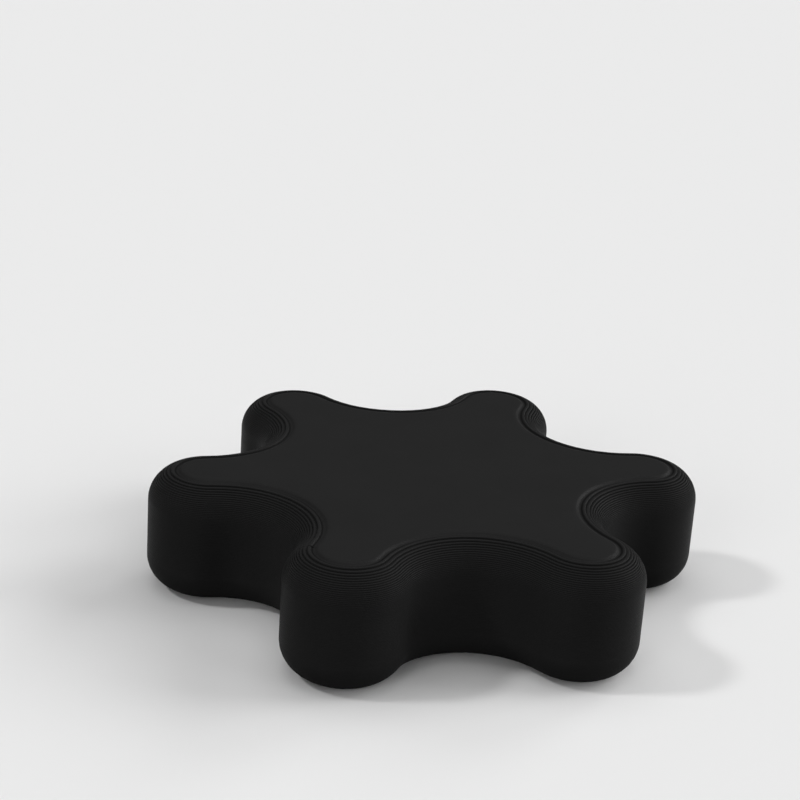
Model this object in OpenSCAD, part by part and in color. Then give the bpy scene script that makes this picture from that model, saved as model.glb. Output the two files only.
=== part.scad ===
// Flower knob: a flat-topped grip with round lobes and finger valleys, in one solid piece.
// It stands on its underside, centred on the Z axis, with one lobe along +X. Millimetres.

/* [Body] */
// Diameter of the circle round the lobe tips
knob_d = 70; // [56:1:90]
// Height from the underside to the flat top
knob_h = 15.2; // [13:0.2:30]

/* [Lobes] */
// Number of lobes round the knob
lobe_count = 6; // [4:1:8]
// Radius of a lobe's half-round tip, seen from above
lobe_r = 7.45; // [6.5:0.05:9.5]

/* [Edges] */
// Radius of the rounded edge round the top
top_edge_r = 4; // [1:0.5:6]
// Radius of the rounded edge round the underside
bottom_edge_r = 4; // [1:0.5:6]

/* [Nut pocket] */
// Width of the hexagon nut across its flats
nut_w = 13; // [10:0.5:19]
// Thickness of the hexagon nut
nut_h = 6.8; // [4:0.1:8]
// Play between each flat of the nut and the wall of its pocket
nut_play = 0.1; // [0.05:0.05:0.3]
// Depth of the seated nut's outer face inside the underside
nut_recess = 0.2; // [0:0.1:1]

/* [Stud bore] */
// Diameter of the stud that the nut runs on
stud_d = 8; // [5:1:10]
// Play all round the stud in its bore
stud_play = 0.2; // [0.1:0.05:0.4]
// Thickness of the roof between the blind end of the bore and the flat top
roof_t = 3.2; // [2:0.2:4.8]

/* [Hidden] */
$fn = 96;
// Overlap of each lobe with the valleys beside it, which makes them one body
join_overlap = 0.005;
// Reach of a cutter past the face that it opens
cut_past = 1;
// Sides of the nut
nut_sides = 6;
// Angle between the middle of a lobe and the middle of the next valley
half_pitch = 180 / lobe_count;
// Distance of the lobe centres from the axis
lobe_ring_r = knob_d / 2 - lobe_r;
// Distance of the valley centres from the axis, where the flats behind two lobes meet
valley_ring_r = lobe_ring_r / cos(half_pitch);
// Radius of a valley that runs smoothly into the half-round lobes on both sides
valley_r = lobe_ring_r * tan(half_pitch) - lobe_r + join_overlap;
// Height of the pocket's ceiling above the underside
pocket_h = nut_h + nut_recess;
// Distance of the pocket's corners from the axis
pocket_corner_r = (nut_w / 2 + nut_play) / cos(180 / nut_sides);
// Height of the bore's blind end above the underside
bore_h = knob_h - roof_t;

// Quarter of a disc, in the corner between +X and +Y
module quarter_disc(r) {
    intersection() {
        circle(r);
        square(2 * r);
    }
}

// Section through the rim, from a lobe's centre line at X = 0 out to its wall, with both outer corners rounded
module rim_section() {
    top_w = lobe_r - top_edge_r;
    top_edge_z = knob_h - top_edge_r;
    bottom_w = lobe_r - bottom_edge_r;
    square([bottom_w, bottom_edge_r]);
    translate([bottom_w, bottom_edge_r])
        mirror([0, 1])
            quarter_disc(bottom_edge_r);
    translate([0, bottom_edge_r])
        square([lobe_r, top_edge_z - bottom_edge_r]);
    translate([top_w, top_edge_z])
        quarter_disc(top_edge_r);
    translate([0, top_edge_z])
        square([top_w, top_edge_r]);
}

// Prism with a flat behind each lobe and a corner at each valley's centre
module blank() {
    rotate(half_pitch)
        cylinder(h = knob_h, r = valley_ring_r, $fn = lobe_count);
}

// One lobe on the X axis: the rim section turned about the lobe's centre
module lobe() {
    translate([lobe_ring_r, 0, 0])
        rotate_extrude()
            rim_section();
}

// What one finger valley on the X axis takes away: all that lies inside the rim section facing its centre
module valley_cut() {
    rim_reach = valley_r + lobe_r;
    translate([valley_ring_r, 0, 0])
        rotate_extrude()
            difference() {
                square([rim_reach, knob_h]);
                translate([rim_reach, 0])
                    mirror([1, 0])
                        rim_section();
            }
}

// Hexagon pocket that holds the nut from turning, open at the underside
module nut_pocket() {
    translate([0, 0, -cut_past])
        cylinder(h = pocket_h + cut_past, r = pocket_corner_r, $fn = nut_sides);
}

// Blind bore beyond the nut for the end of the stud
module stud_bore() {
    cylinder(h = bore_h, d = stud_d + 2 * stud_play);
}

// The whole grip
module knob() {
    color("#262626")
        difference() {
            union() {
                difference() {
                    blank();
                    for (k = [0 : lobe_count - 1])
                        rotate((2 * k + 1) * half_pitch)
                            valley_cut();
                }
                for (k = [0 : lobe_count - 1])
                    rotate(2 * k * half_pitch)
                        lobe();
            }
            nut_pocket();
            stud_bore();
        }
}

knob();
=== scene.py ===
"""Dressed model of the flower knob: a six-lobed grip printed in black plastic, layer on layer.

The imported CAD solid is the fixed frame. The printed skin stands for it: the same form, with the beads of
its layers, the low ring round its top skin, its outer bead and its seam. Sizes of the knob are in
millimetres, the scene in metres.
"""

import logging
import math
from dataclasses import dataclass, field
from enum import Enum

import bpy
import numpy as np
from mathutils import Matrix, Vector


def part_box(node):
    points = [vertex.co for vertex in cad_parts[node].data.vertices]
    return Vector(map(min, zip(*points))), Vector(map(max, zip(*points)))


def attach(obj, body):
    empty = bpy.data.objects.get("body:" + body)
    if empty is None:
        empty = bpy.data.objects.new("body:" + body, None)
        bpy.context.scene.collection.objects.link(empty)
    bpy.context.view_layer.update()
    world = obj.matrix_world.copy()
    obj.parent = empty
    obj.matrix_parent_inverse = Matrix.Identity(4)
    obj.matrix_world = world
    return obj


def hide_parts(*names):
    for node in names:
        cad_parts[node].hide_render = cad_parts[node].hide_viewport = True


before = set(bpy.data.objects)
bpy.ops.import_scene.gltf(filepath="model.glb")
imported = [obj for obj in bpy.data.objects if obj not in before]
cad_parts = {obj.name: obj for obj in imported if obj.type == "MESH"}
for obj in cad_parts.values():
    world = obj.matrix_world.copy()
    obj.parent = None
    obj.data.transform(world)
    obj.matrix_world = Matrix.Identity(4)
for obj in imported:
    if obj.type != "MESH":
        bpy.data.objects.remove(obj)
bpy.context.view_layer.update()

MM = 0.001
IMAGE_PX = 800
SENSOR_MM = 36.0
# Name of the mesh attribute that carries the painted shade of the low ring and the nick.
GAP_SHADE = "gap"
LOG = logging.getLogger("flower_knob")


class LayerZone(Enum):
    """Stretch of the layer stack, with the places along one bead where its rows lie.

    A place runs from 0 in the groove below a bead, over 0.5 at its nose, to 1 in the groove above it.
    """

    FIRST = (0.2, 0.3, 0.5, 0.75, 1.0)
    UNDER_ROUND = (0.25, 0.5, 0.75, 1.0)
    WALL = (0.3, 0.5, 0.7, 1.0)
    LOW_ROUND = (0.3, 0.5, 0.65, 0.8, 1.0)
    TOP_ROUND = (0.3, 0.5, 0.6, 0.7, 0.8, 0.87, 0.94, 1.0)
    LAST = (0.3, 0.5, 0.6, 0.7, 0.8)


@dataclass(frozen=True)
class LobedOutline:
    """Plan of the knob: half-round lobes with round finger valleys that run smoothly into them.

    A column of the surface has a place: its whole part counts the lobes, and its fraction runs over one
    lobe and then over the valley after it.
    """

    reach: float
    lobe_r: float = 7.45
    lobes: int = 6
    lobe_columns: int = 24
    valley_columns: int = 16
    seam_lobe: int = 4
    seam_turn: float = -78.0
    seam_columns: tuple[float, ...] = (0.07, 0.15, 0.26, 0.45)

    @property
    def pitch(self) -> float:
        """Angle from one lobe to the next, in radians."""
        return 2 * math.pi / self.lobes

    @property
    def lobe_ring(self) -> float:
        """Distance of the lobe centres from the axis."""
        return self.reach - self.lobe_r

    @property
    def lobe_share(self) -> float:
        """Share of a pitch's columns that lies on the lobe."""
        return self.lobe_columns / (self.lobe_columns + self.valley_columns)

    @property
    def seam_place(self) -> float:
        """Place of the seam, which stands at a set turn from its lobe's tip."""
        return self.seam_lobe + self.lobe_share * (0.5 + self.seam_turn / 180)

    @property
    def place_per_mm(self) -> float:
        """Change of place over a millimetre of a lobe's wall."""
        return self.lobe_share / (math.pi * self.lobe_r)

    def places(self) -> np.ndarray:
        """Even columns over lobes and valleys, and close ones on both sides of the seam.

        Returns:
            The places in rising order.
        """
        count = self.lobes * (self.lobe_columns + self.valley_columns)
        offsets = np.array(self.seam_columns) * self.place_per_mm
        seam = self.seam_place + np.concatenate([-offsets[::-1], [0.0], offsets])
        even = np.arange(count) * self.lobes / count
        clear = (even < seam[0] - offsets[0]) | (even > seam[-1] + offsets[0])
        return np.sort(np.concatenate([even[clear], seam]))

    def seam_distance(self, place: np.ndarray) -> np.ndarray:
        """Distance along the wall from the seam, in millimetres."""
        return (place - self.seam_place) / self.place_per_mm

    def wall(self, place: np.ndarray) -> tuple[np.ndarray, np.ndarray]:
        """Points of the outermost outline and the wall's outward directions.

        On a lobe the direction turns by half a turn about the lobe's centre, and the point lies one lobe
        radius out along it. In a valley it turns back, and the point lies one valley radius behind the
        valley's centre.

        Args:
            place: Places of the columns.

        Returns:
            Points and outward unit vectors, each with a row of x and y for every column.
        """
        index, part = np.floor(place), place % 1.0
        on_lobe = part < self.lobe_share
        tip = index * self.pitch
        lobe_angle = tip + (part / self.lobe_share - 0.5) * math.pi
        middle = tip + self.pitch / 2
        sweep = math.pi - self.pitch
        valley_angle = middle + (0.5 - (part - self.lobe_share) / (1 - self.lobe_share)) * sweep
        valley_ring = self.lobe_ring / math.cos(self.pitch / 2)
        valley_r = self.lobe_ring * math.tan(self.pitch / 2) - self.lobe_r
        angle = np.where(on_lobe, lobe_angle, valley_angle)
        centre_angle = np.where(on_lobe, tip, middle)
        centre_ring = np.where(on_lobe, self.lobe_ring, valley_ring)
        radius = np.where(on_lobe, self.lobe_r, -valley_r)
        out = polar(np.ones_like(angle), angle)
        return polar(centre_ring, centre_angle) + radius[:, None] * out, out


@dataclass(frozen=True)
class LayerStack:
    """Upright section of the rim as a stack of printed beads on the rounded section of the solid.

    The first layer is thicker than the others. The last bead ends just under the solid's top. Inside it lie
    a low ring and then the flat top skin, which is at the solid's top.
    """

    height: float
    first: float = 0.3
    layer: float = 0.2
    top_drop: float = 0.1
    edge_r: float = 4.0
    set_back: float = 0.003
    groove: float = 0.016
    corner: float = 0.1
    corner_per_step: float = 0.4
    corner_share: float = 0.6
    crown_per_step: float = 0.22
    crown_most: float = 0.08
    skin_end_at: float = 3.77
    skin_end_half: float = 0.17
    skin_end_drop: float = 0.25
    bead_rise_at: float = 3.15
    bead_rise_half: float = 0.09
    bead_rise: float = 0.16
    # Middle and half width of the painted shade in the low ring beside the outer bead.
    gap_at: float = 3.26
    gap_half: float = 0.15
    skin_insets: tuple[float, ...] = (
        2.92, 2.98, 3.03, 3.07, 3.1, 3.13, 3.16, 3.19, 3.22, 3.25, 3.28,
        3.31, 3.35, 3.42, 3.5, 3.58, 3.66, 3.74, 3.82, 3.92, 4.06, 4.5,
    )

    @property
    def bead_top(self) -> float:
        """Height of the last bead, which the flat top skin stands above."""
        return self.height - self.top_drop

    @property
    def count(self) -> int:
        """Number of layers."""
        return 1 + round((self.bead_top - self.first) / self.layer)

    def middle(self, layer: np.ndarray) -> np.ndarray:
        """Heights of the middles of some layers, which are counted from the underside."""
        return np.where(layer < 1, self.first / 2, self.first + (layer - 0.5) * self.layer)

    def smooth_inset(self, z: np.ndarray) -> np.ndarray:
        """Inset of the solid's rim: nothing on the wall, and a quarter circle towards top and bottom.

        Args:
            z: Heights.

        Returns:
            Insets from the outermost outline.
        """
        top = self.height - self.edge_r
        rise = np.clip(np.maximum(self.edge_r - z, z - top), 0.0, self.edge_r)
        return self.edge_r - np.sqrt(self.edge_r**2 - rise**2)

    def bead(self, layer: np.ndarray, place: np.ndarray) -> tuple[np.ndarray, np.ndarray]:
        """Section of the beads.

        A bead's nose stands on the solid's rim at the layer's middle. From there a quarter ellipse turns to
        the layer's upper or lower face over the corner's share of the way, and the face runs with a slight
        crown to the groove at the next layer.

        Args:
            layer: Numbers of the layers, from the underside.
            place: Places along the beads, as LayerZone gives them.

        Returns:
            Insets from the outermost outline, and heights.
        """
        middle = self.middle(layer)
        side = np.where(place > 0.5, 1.0, -1.0)
        nose = self.smooth_inset(middle)
        step = np.maximum(self.smooth_inset(self.middle(layer + side)) - nose, 0.0)
        corner = np.minimum(self.groove + self.corner_per_step * step, self.corner)
        half = np.where(layer < 1, self.first, self.layer) / 2
        reach = np.abs(2 * place - 1)
        turned = np.minimum(reach / self.corner_share, 1.0) * math.pi / 2
        tread = np.maximum(reach - self.corner_share, 0.0) / (1 - self.corner_share)
        inset = nose + corner * (1 - np.cos(turned)) + tread * (step + self.groove - corner)
        rise = half * np.sin(turned) - np.minimum(self.crown_per_step * step, self.crown_most) * tread**2
        return inset + self.set_back, middle + side * rise

    def skin(self) -> tuple[np.ndarray, np.ndarray]:
        """Top skin inside its outer bead: flat, with smooth steps down to a low ring and up to the bead.

        Returns:
            Insets from the outermost outline, and heights.
        """
        inset = np.array(self.skin_insets)
        drop = self.skin_end_drop * smooth_step((self.skin_end_at - inset) / self.skin_end_half)
        rise = self.bead_rise * smooth_step((self.bead_rise_at - inset) / self.bead_rise_half)
        return inset, self.height - drop + rise

    def gap(self, inset: np.ndarray, z: np.ndarray) -> np.ndarray:
        """How far a row lies in the painted shade of the low ring beside the outer bead: a bell over the
        inset, in the upper half.
        """
        bell = np.exp(-(((inset - self.gap_at) / self.gap_half) ** 2))
        return np.where(z > self.height / 2, bell, 0.0)

    def zones(self) -> list[tuple[LayerZone, np.ndarray]]:
        """Splits the layers into zones: each rounded edge has its own, the upper one in two halves.

        Returns:
            The zones from the underside to the top, each with the numbers of its layers.
        """
        rounded = round(self.edge_r / self.layer)
        count = self.count
        bounds = [0, 1, rounded, count - rounded, count - rounded // 2, count - 1, count]
        return [(zone, np.arange(a, b)) for zone, a, b in zip(LayerZone, bounds[:-1], bounds[1:])]

    def rows(self) -> tuple[np.ndarray, np.ndarray]:
        """Rows of the rim, from the underside to the top skin.

        Returns:
            Insets from the outermost outline, and heights.
        """
        parts = []
        for zone, layers in self.zones():
            places = np.array(zone.value)
            parts.append(self.bead(np.repeat(layers, len(places)), np.tile(places, len(layers))))
        parts.append(self.skin())
        return tuple(np.concatenate(values) for values in zip(*parts))


@dataclass(frozen=True)
class PrintFinish:
    """Matte black printed plastic.

    It has dark tints in soft clouds, layers of slightly different gloss and a fine grain. Its darker colour
    in the low ring beside the outer bead and in the nick is painted shade.
    """

    name: str = "printed_black_plastic"
    dark: tuple[float, float, float] = (0.0155, 0.0155, 0.0155)
    light: tuple[float, float, float] = (0.0185, 0.0185, 0.0185)
    # Painted shade: the dark colour of the low ring beside the outer bead and of the nick.
    gap: tuple[float, float, float] = (0.005, 0.005, 0.005)
    specular_level: float = 0.024
    roughness: tuple[float, float] = (0.4, 0.48)
    cloud_scale: float = 160.0
    cloud_detail: float = 3.0
    layer_scale: tuple[float, float, float] = (25.0, 25.0, 5000.0)
    layer_detail: float = 1.0
    grain_scale: float = 5200.0
    grain_detail: float = 2.0
    grain_height: float = 0.000004

    def material(self) -> bpy.types.Material:
        """Builds the material on Object coordinates and the mesh's attribute of painted shade.

        Returns:
            The material: clouds mix the two tints, the attribute mixes in the painted shade's dark colour,
            stretched noise changes the gloss from layer to layer, and fine noise is the grain.
        """
        made = bpy.data.materials.new(self.name)
        made.use_nodes = True
        wires = Wiring(made.node_tree)
        shader = wires.find("Principled BSDF")
        shader.inputs["Specular IOR Level"].default_value = self.specular_level
        place = wires.add("ShaderNodeTexCoord").outputs["Object"]
        cloud = wires.add("ShaderNodeTexNoise", Scale=self.cloud_scale, Detail=self.cloud_detail)
        tint = wires.blend(self.dark, self.light)
        # Painted shade: the attribute mixes the dark colour into the low ring and the nick.
        shade = wires.blend(self.dark, self.gap)
        recess_shade = wires.add("ShaderNodeAttribute", attribute_name=GAP_SHADE)
        stretch = wires.add("ShaderNodeMapping", Scale=self.layer_scale)
        strata = wires.add("ShaderNodeTexNoise", Scale=1.0, Detail=self.layer_detail)
        gloss = wires.add("ShaderNodeMapRange")
        gloss.inputs["To Min"].default_value, gloss.inputs["To Max"].default_value = self.roughness
        grain = wires.add("ShaderNodeTexNoise", Scale=self.grain_scale, Detail=self.grain_detail)
        bump = wires.add("ShaderNodeBump", Strength=1.0, Distance=self.grain_height)
        wires.join(place, cloud.inputs["Vector"])
        wires.join(place, stretch.inputs["Vector"])
        wires.join(place, grain.inputs["Vector"])
        wires.join(cloud.outputs["Fac"], tint.inputs["Factor"])
        wires.join(recess_shade.outputs["Fac"], shade.inputs["Factor"])
        wires.join(wires.colours(tint.outputs)[0], wires.colours(shade.inputs)[0])
        wires.join(wires.colours(shade.outputs)[0], shader.inputs["Base Color"])
        wires.join(stretch.outputs["Vector"], strata.inputs["Vector"])
        wires.join(strata.outputs["Fac"], gloss.inputs["Value"])
        wires.join(gloss.outputs["Result"], shader.inputs["Roughness"])
        wires.join(grain.outputs["Fac"], bump.inputs["Height"])
        wires.join(bump.outputs["Normal"], shader.inputs["Normal"])
        return made


@dataclass
class Wiring:
    """Nodes of one tree, added and joined with few words."""

    tree: bpy.types.NodeTree

    def add(self, kind: str, **values: object) -> bpy.types.Node:
        """Adds a node.

        Args:
            kind: Name of the node's type.
            values: Inputs to set, by name, and properties of the node, by theirs.

        Returns:
            The node.
        """
        node = self.tree.nodes.new(kind)
        for key, value in values.items():
            if hasattr(node, key):
                setattr(node, key, value)
            else:
                node.inputs[key].default_value = value
        return node

    def colours(self, sockets: bpy.types.bpy_prop_collection) -> list[bpy.types.NodeSocket]:
        """The colour sockets among a node's inputs or outputs."""
        return [socket for socket in sockets if socket.type == "RGBA"]

    def blend(self, start: tuple[float, ...], end: tuple[float, ...]) -> bpy.types.Node:
        """Adds a mix of two colours.

        Args:
            start: Colour where the factor is 0.
            end: Colour where the factor is 1.

        Returns:
            The node.
        """
        node = self.add("ShaderNodeMix", data_type="RGBA")
        for socket, colour in zip(self.colours(node.inputs), (start, end)):
            socket.default_value = (*colour, 1.0)
        return node

    def find(self, name: str) -> bpy.types.Node:
        """The tree's node of that name."""
        return self.tree.nodes[name]

    def join(self, start: bpy.types.NodeSocket, end: bpy.types.NodeSocket) -> None:
        """Links an output to an input."""
        self.tree.links.new(start, end)

    def most(self, *sockets: bpy.types.NodeSocket) -> bpy.types.NodeSocket:
        """The largest of some values.

        Args:
            sockets: Outputs that give the values.

        Returns:
            The output that gives the largest.
        """
        first = sockets[0]
        for other in sockets[1:]:
            node = self.add("ShaderNodeMath", operation="MAXIMUM")
            self.join(first, node.inputs[0])
            self.join(other, node.inputs[1])
            first = node.outputs[0]
        return first

    def seen(self) -> bpy.types.NodeSocket:
        """One where the camera, a reflection or glass looks, and nothing where only light bounces."""
        path = self.add("ShaderNodeLightPath").outputs
        return self.most(path["Is Camera Ray"], path["Is Glossy Ray"], path["Is Transmission Ray"])


@dataclass
class PrintedKnob:
    """The knob's printed skin, closed round its nut pocket and stud bore."""

    outline: LobedOutline
    stack: LayerStack
    pocket_corner_r: float = 7.6210
    pocket_h: float = 7.0
    bore_r: float = 4.2
    bore_h: float = 12.0
    bed_edge: float = 0.15
    bed_shares: tuple[float, ...] = (0.35, 0.7, 0.94)
    seam_depth: float = 0.06
    seam_half: float = 0.11
    seam_fade: float = 0.4
    lip_height: float = 0.018
    lip_at: float = 0.24
    seam_wander: float = 0.05
    wander_turn: float = 2.4
    nick_depth: float = 0.2
    nick_half: float = 0.15
    nick_from: float = 2.72
    nick_to: float = 3.4
    nick_end: float = 0.08
    crease: float = 48.0
    cap_shares: tuple[float, ...] = (0.85, 0.55, 0.25)
    name: str = "printed_skin"
    piece: bpy.types.Object | None = field(default=None, init=False)

    def hexagon(self, place: np.ndarray, corner_r: float) -> np.ndarray:
        """Points of the nut pocket: straight sides between corners, with a corner under each lobe.

        Args:
            place: Places of the columns.
            corner_r: Distance of the corners from the axis.

        Returns:
            Rows of x and y.
        """
        along = place - self.outline.lobe_share / 2
        corner, part = np.floor(along), along % 1.0
        start = polar(np.full_like(along, corner_r), corner * self.outline.pitch)
        end = polar(np.full_like(along, corner_r), (corner + 1) * self.outline.pitch)
        return start + part[:, None] * (end - start)

    def circle(self, place: np.ndarray, radius: float) -> np.ndarray:
        """Points of a circle about the axis, one for each column."""
        angle = (place - self.outline.lobe_share / 2) * self.outline.pitch
        return polar(np.full_like(angle, radius), angle)

    def seam(self, place: np.ndarray, inset: np.ndarray, z: np.ndarray) -> np.ndarray:
        """Depth of the seam: a bell-shaped groove between two low lips.

        It wanders from layer to layer as the sine of a set turn for each layer, and fades out at the top
        skin.

        Args:
            place: Places of the columns.
            inset: Insets of the rows.
            z: Heights of the rows.

        Returns:
            Depths, a row for each row of the rim and a value for each column.
        """
        wander = self.seam_wander * np.sin(self.wander_turn * np.round(z / self.stack.layer))
        away = self.outline.seam_distance(place)[None, :] + wander[:, None]
        cut = self.seam_depth * np.exp(-((away / self.seam_half) ** 2))
        lips = self.lip_height * np.exp(-(((np.abs(away) - self.lip_at) / self.seam_half) ** 2))
        fade = np.clip((self.stack.skin_end_at - inset) / self.seam_fade, 0.0, 1.0)
        return (cut - lips) * fade[:, None]

    def nick(self, place: np.ndarray, inset: np.ndarray, z: np.ndarray) -> np.ndarray:
        """How far a point lies in the nick where the seam crosses the outer bead.

        Along the wall it is a bell about the seam, and over the inset a smooth rise and fall.

        Args:
            place: Places of the columns.
            inset: Insets of the rows.
            z: Heights of the rows.

        Returns:
            Values from 0 to 1, a row for each row of the rim and a value for each column.
        """
        rise = smooth_step((inset - self.nick_from) / self.nick_end)
        fall = smooth_step((self.nick_to - inset) / self.nick_end)
        across = rise * fall * (z > self.stack.height / 2)
        along = np.exp(-((self.outline.seam_distance(place) / self.nick_half) ** 2))
        return across[:, None] * along[None, :]

    def rim(self, place: np.ndarray) -> np.ndarray:
        """Rows of the rim: the outline moved inwards by each row's inset, with seam and nick pressed in.

        The seam goes inwards on the wall and turns to go down on the rounded upper edge. The nick goes down.

        Args:
            place: Places of the columns.

        Returns:
            Points by row and column.
        """
        inset, z = self.stack.rows()
        wall, out = self.outline.wall(place)
        depth = self.seam(place, inset, z)
        lean = np.clip((z - self.stack.height + self.stack.edge_r) / self.stack.edge_r, 0.0, 1.0)
        inward = inset[:, None] + depth * np.sqrt(1 - lean**2)[:, None]
        height = z[:, None] - np.maximum(depth, 0.0) * lean[:, None]
        height = height - self.nick_depth * self.nick(place, inset, z)
        flat = wall[None] - inward[..., None] * out[None]
        return np.concatenate([flat, height[..., None]], axis=2)

    def surface(self) -> np.ndarray:
        """Rows of points from the bore's blind end over the pocket, the underside and the rim to the top.

        Returns:
            Points by row and column.
        """
        place = self.outline.places()
        rim = self.rim(place)
        bed = self.hexagon(place, self.pocket_corner_r + self.bed_edge)
        inner = [
            (self.circle(place, self.bore_r / 2), self.bore_h),
            (self.circle(place, self.bore_r), self.bore_h),
            (self.circle(place, self.bore_r), self.pocket_h),
            (self.hexagon(place, self.pocket_corner_r), self.pocket_h),
            (self.hexagon(place, self.pocket_corner_r), self.bed_edge),
            (bed, 0.0),
        ]
        first, last = rim[0, :, :2], rim[-1, :, :2]
        inner += [(bed + share * (first - bed), 0.0) for share in self.bed_shares]
        cap = [(last * share, self.stack.height) for share in self.cap_shares]
        return np.concatenate([levels(inner), rim, levels(cap)])

    def recess_shade(self, count: int) -> np.ndarray:
        """Painted shade of each point, from 0 to 1: in the low ring beside the outer bead and in the nick.

        Args:
            count: Number of rows of the surface.

        Returns:
            A value for each point, row by row, and then for the two poles.
        """
        place = self.outline.places()
        inset, z = self.stack.rows()
        depth = np.zeros((count, len(place)), dtype=np.float32)
        stop = count - len(self.cap_shares)
        nick = self.nick(place, inset, z)
        # Painted shade: the bell of the low ring, and the nick, on the top skin's rows.
        depth[stop - len(inset):stop] = np.maximum(self.stack.gap(inset, z)[:, None], nick)
        return np.append(depth.ravel(), [0.0, 0.0])

    def faces(self, count: int, columns: int) -> tuple[np.ndarray, np.ndarray]:
        """Quads between the rows, and a fan of triangles about each pole: the bore's blind end and the top.

        Args:
            count: Number of rows of the surface.
            columns: Number of points in a row.

        Returns:
            The faces' corners, one face after the other, and how many each face has.
        """
        here = np.arange(count * columns).reshape(count, columns)
        after = np.roll(here, -1, axis=1)
        quads = np.stack([here[:-1], after[:-1], after[1:], here[1:]], axis=-1).reshape(-1, 4)
        start, end = count * columns, count * columns + 1
        fan = np.stack([np.full(columns, start), after[0], here[0]], axis=-1)
        cap = np.stack([here[-1], after[-1], np.full(columns, end)], axis=-1)
        corners = np.concatenate([quads.ravel(), fan.ravel(), cap.ravel()]).astype(np.int32)
        return corners, np.repeat([4, 3], [len(quads), 2 * columns]).astype(np.int32)

    def build(self) -> bpy.types.Object:
        """Puts the surface into a closed mesh, with its painted shade as an attribute of its points.

        Returns:
            The piece, riding on the CAD body in place of the CAD node.
        """
        rows = self.surface()
        count, columns = rows.shape[:2]
        poles = np.array([[0.0, 0.0, self.bore_h], [0.0, 0.0, self.stack.height]])
        points = np.concatenate([rows.reshape(-1, 3), poles]) * MM
        corners, sides = self.faces(count, columns)
        mesh = bpy.data.meshes.new(self.name)
        mesh.vertices.add(len(points))
        mesh.vertices.foreach_set("co", points.astype(np.float32).ravel())
        mesh.loops.add(len(corners))
        mesh.loops.foreach_set("vertex_index", corners)
        mesh.polygons.add(len(sides))
        mesh.polygons.foreach_set("loop_start", np.cumsum(sides, dtype=np.int32) - sides)
        mesh.polygons.foreach_set("use_smooth", np.ones(len(sides), dtype=bool))
        mesh.update(calc_edges=True)
        # Painted shade of the low ring and the nick, which the material darkens.
        gap = mesh.attributes.new(GAP_SHADE, "FLOAT", "POINT")
        gap.data.foreach_set("value", self.recess_shade(count))
        mesh.set_sharp_from_angle(angle=math.radians(self.crease))
        self.piece = bpy.data.objects.new(self.name, mesh)
        bpy.context.scene.collection.objects.link(self.piece)
        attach(self.piece, "root")
        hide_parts("knob")
        return self.piece

    def dress(self, finish: PrintFinish) -> None:
        """Gives the piece its finish."""
        self.piece.data.materials.append(finish.material())


@dataclass(frozen=True)
class Lamp:
    """Soft studio lamp so far off that it lights the whole floor alike."""

    name: str
    azimuth: float
    elevation: float
    share: float
    spread: float

    def build(self) -> bpy.types.Object:
        """Makes the lamp, with a power at which a matt floor returns the lamp's share of its colour.

        Returns:
            The lamp.
        """
        data = bpy.data.lights.new(self.name, "SUN")
        data.energy = self.share * math.pi / math.sin(math.radians(self.elevation))
        data.angle = math.radians(self.spread)
        lamp = bpy.data.objects.new(self.name, data)
        azimuth, elevation = math.radians(self.azimuth), math.radians(self.elevation)
        lamp.rotation_euler = (math.pi / 2 - elevation, 0.0, azimuth + math.pi / 2)
        bpy.context.scene.collection.objects.link(lamp)
        return lamp


@dataclass
class Studio:
    """Pale floor, even sky and soft lamps, which together light the floor to about its own colour."""

    pale: float = 0.83
    bounce: float = 0.1
    floor_half: float = 20.0
    sky: float = 0.14
    lamps: tuple[Lamp, ...] = (
        Lamp("left_key", 176.0, 46.5, 0.18, 8.0),
        Lamp("right_softbox", 6.0, 36.0, 0.14, 30.0),
        Lamp("right_low", 3.0, 18.0, 0.1, 38.0),
        Lamp("back_strip", 40.0, 29.0, 0.09, 22.0),
        Lamp("overhead", 100.0, 80.0, 0.2, 50.0),
        Lamp("front_softbox", 262.0, 45.0, 0.04, 45.0),
        Lamp("front_left", 230.0, 20.0, 0.06, 25.0),
        Lamp("front_right", 324.0, 22.0, 0.05, 28.0),
    )

    def floor(self) -> bpy.types.Object:
        """Lays the floor: pale where it is seen, and darker where its light falls back on the knob.

        Returns:
            The floor.
        """
        half = self.floor_half
        mesh = bpy.data.meshes.new("studio_floor")
        corners = [(-half, -half, 0.0), (half, -half, 0.0), (half, half, 0.0), (-half, half, 0.0)]
        mesh.from_pydata(corners, [], [(0, 1, 2, 3)])
        mesh.materials.append(self.paper())
        laid = bpy.data.objects.new("studio_floor", mesh)
        bpy.context.scene.collection.objects.link(laid)
        return laid

    def paper(self) -> bpy.types.Material:
        """Builds the floor's matt paper.

        Returns:
            The material: pale where it is seen, and dim where only light bounces.
        """
        made = bpy.data.materials.new("studio_paper")
        made.use_nodes = True
        wires = Wiring(made.node_tree)
        made.node_tree.nodes.remove(wires.find("Principled BSDF"))
        dim = wires.add("ShaderNodeBsdfDiffuse", Color=(self.bounce, self.bounce, self.bounce, 1.0))
        shown = wires.add("ShaderNodeBsdfDiffuse", Color=(self.pale, self.pale, self.pale, 1.0))
        mix = wires.add("ShaderNodeMixShader")
        wires.join(wires.seen(), mix.inputs[0])
        wires.join(dim.outputs[0], mix.inputs[1])
        wires.join(shown.outputs[0], mix.inputs[2])
        wires.join(mix.outputs[0], wires.find("Material Output").inputs["Surface"])
        return made

    def light(self) -> None:
        """Lights the lamps and an even sky."""
        for lamp in self.lamps:
            lamp.build()
        world = bpy.data.worlds.new("studio_sky")
        world.use_nodes = True
        even = Wiring(world.node_tree).find("Background")
        even.inputs["Color"].default_value = (1.0, 1.0, 1.0, 1.0)
        even.inputs["Strength"].default_value = self.sky
        bpy.context.scene.world = world
        bpy.context.scene.view_settings.view_transform = "Standard"


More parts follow.
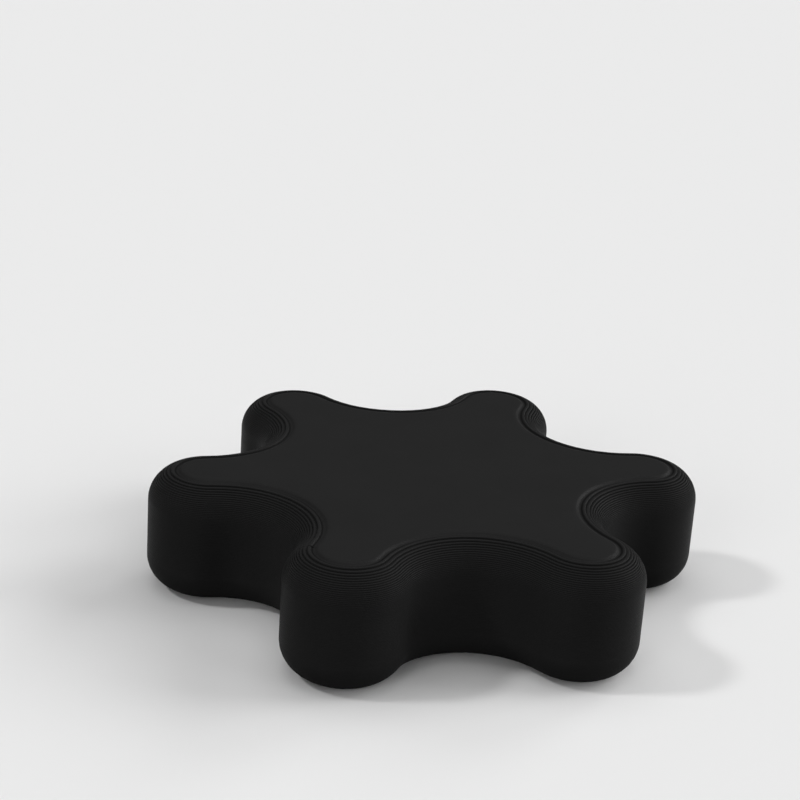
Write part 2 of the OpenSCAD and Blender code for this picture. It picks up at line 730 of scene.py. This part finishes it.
@dataclass(frozen=True)
class StillCamera:
    """Camera at the photograph's viewing angle, held with a slight roll."""

    focal_px: float = 1893.21
    distance: float = 0.240462
    elevation: float = 23.721
    azimuth: float = -12.307
    roll: float = 4.222
    centre_px: tuple[float, float] = (434.662, 520.797)
    clip: tuple[float, float] = (0.01, 100.0)

    def build(self, target: np.ndarray) -> bpy.types.Object:
        """Makes the camera.

        It looks at the target from its distance, and then turns until the target lies off centre.

        Args:
            target: Middle of the knob, in metres.

        Returns:
            The camera.
        """
        azimuth, elevation = math.radians(self.azimuth), math.radians(self.elevation)
        back = np.array([
            math.sin(azimuth) * math.cos(elevation),
            -math.cos(azimuth) * math.cos(elevation),
            math.sin(elevation),
        ])
        right = np.cross(-back, [0.0, 0.0, 1.0])
        right /= np.linalg.norm(right)
        axes = np.array([right, -np.cross(right, -back), -back])
        ray = np.array([*(np.array(self.centre_px) - IMAGE_PX / 2) / self.focal_px, 1.0])
        ray /= np.linalg.norm(ray)
        yaw, pitch = math.atan2(ray[0], ray[2]), math.asin(ray[1])
        axes = turn(2, math.radians(self.roll)) @ turn(1, yaw) @ turn(0, -pitch) @ axes
        data = bpy.data.cameras.new("still_camera")
        data.sensor_width = SENSOR_MM
        data.lens = self.focal_px / IMAGE_PX * SENSOR_MM
        data.clip_start, data.clip_end = self.clip
        camera = bpy.data.objects.new("still_camera", data)
        pose = np.eye(4)
        pose[:3, :3] = (axes * np.array([[1.0], [-1.0], [-1.0]])).T
        pose[:3, 3] = target + self.distance * back
        camera.matrix_world = Matrix(pose.tolist())
        bpy.context.scene.collection.objects.link(camera)
        bpy.context.scene.camera = camera
        return camera


def polar(radius: np.ndarray, angle: np.ndarray) -> np.ndarray:
    """Points at a radius and angle about the axis, as rows of x and y."""
    return np.stack([radius * np.cos(angle), radius * np.sin(angle)], axis=-1)


def smooth_step(x: np.ndarray) -> np.ndarray:
    """Rise from 0 to 1 round x = 0, as half of one plus the hyperbolic tangent."""
    return (1 + np.tanh(x)) / 2


def levels(rings: list[tuple[np.ndarray, float]]) -> np.ndarray:
    """Flat rings of x and y, each lifted to its height, as rows of points."""
    return np.stack([np.column_stack([ring, np.full(len(ring), z)]) for ring, z in rings])


def turn(axis: int, angle: float) -> np.ndarray:
    """Matrix of a turn about one axis of a right-handed frame.

    Args:
        axis: 0, 1 or 2 for x, y or z.
        angle: Angle in radians.

    Returns:
        Three rows of three.
    """
    matrix = np.eye(3)
    a, b = (axis + 1) % 3, (axis + 2) % 3
    matrix[a, a] = matrix[b, b] = math.cos(angle)
    matrix[a, b], matrix[b, a] = -math.sin(angle), math.sin(angle)
    return matrix


def main() -> None:
    """Builds the camera, the studio and the knob, and reports each piece."""
    logging.basicConfig(level=logging.INFO, format="%(name)s: %(message)s")
    low, high = (np.array(corner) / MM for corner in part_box("knob"))
    StillCamera().build((low + high) / 2 * MM)
    studio = Studio()
    studio.floor()
    studio.light()
    knob = PrintedKnob(LobedOutline(reach=high[0]), LayerStack(height=high[2]))
    piece = knob.build()
    knob.dress(PrintFinish())
    LOG.info("%s: %d points, %d faces", piece.name, len(piece.data.vertices), len(piece.data.polygons))


if __name__ == "__main__":
    main()
